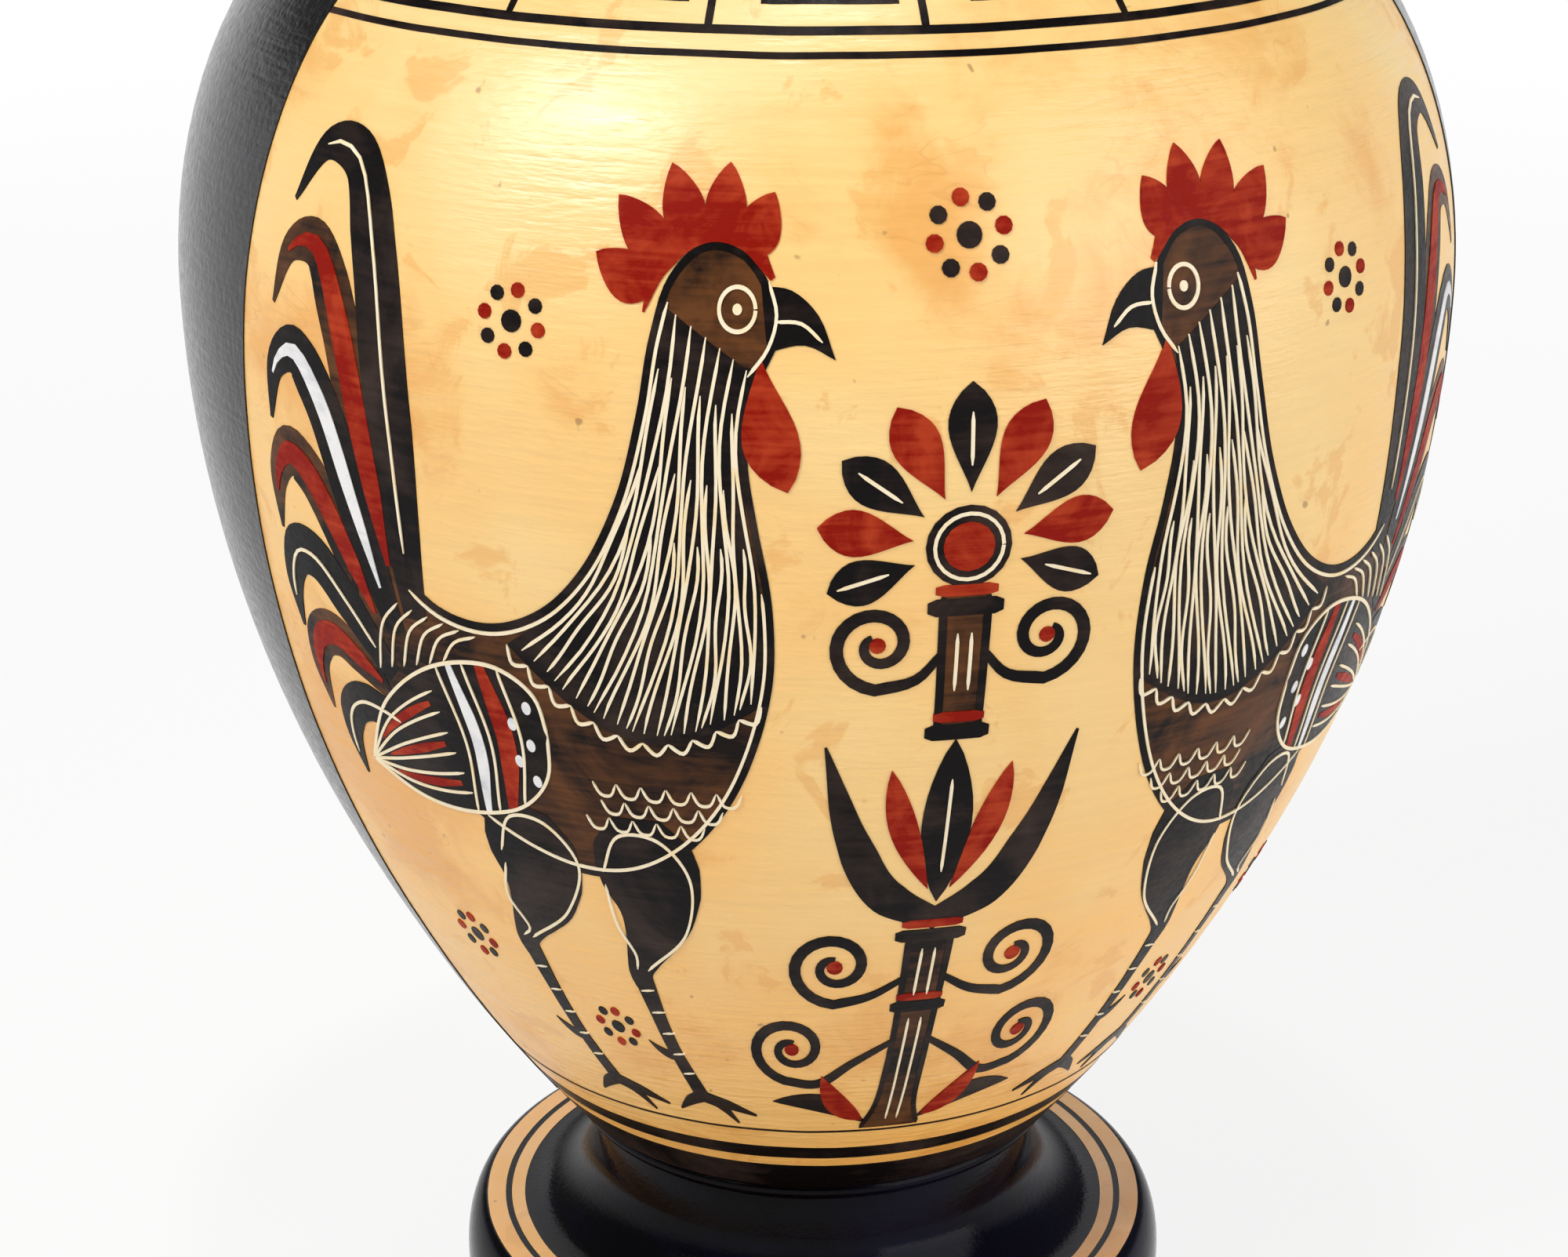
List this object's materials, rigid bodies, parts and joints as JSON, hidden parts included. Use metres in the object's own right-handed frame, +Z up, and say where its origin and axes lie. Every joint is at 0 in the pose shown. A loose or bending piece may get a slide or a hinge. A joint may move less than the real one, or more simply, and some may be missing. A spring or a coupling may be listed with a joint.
{
  "type": "amphora",
  "caption": "Two-handled footed amphora with a wide shoulder, waisted neck and flaring mouth, in black-figure pottery style.",
  "frame": {"origin": "centre of the resting ring under the foot, at table height", "axes": "+Z up along the jar's axis, +X through the right-hand handle, -Y faces the front picture panel"},
  "size_m": [0.2, 0.2, 0.322],
  "materials": {
    "black_glaze": "glossy blue-black glaze",
    "clay": "satin orange clay under a thin clear coat",
    "red_slip": "satin brick-red slip"
  },
  "bodies": {
    "root": {"foot": "black_glaze", "foot_fillet": "black_glaze", "body": "black_glaze", "neck_collar": "red_slip", "neck": "clay", "mouth": "black_glaze", "handle_left": "black_glaze", "handle_right": "black_glaze"}
  },
  "joints": []
}
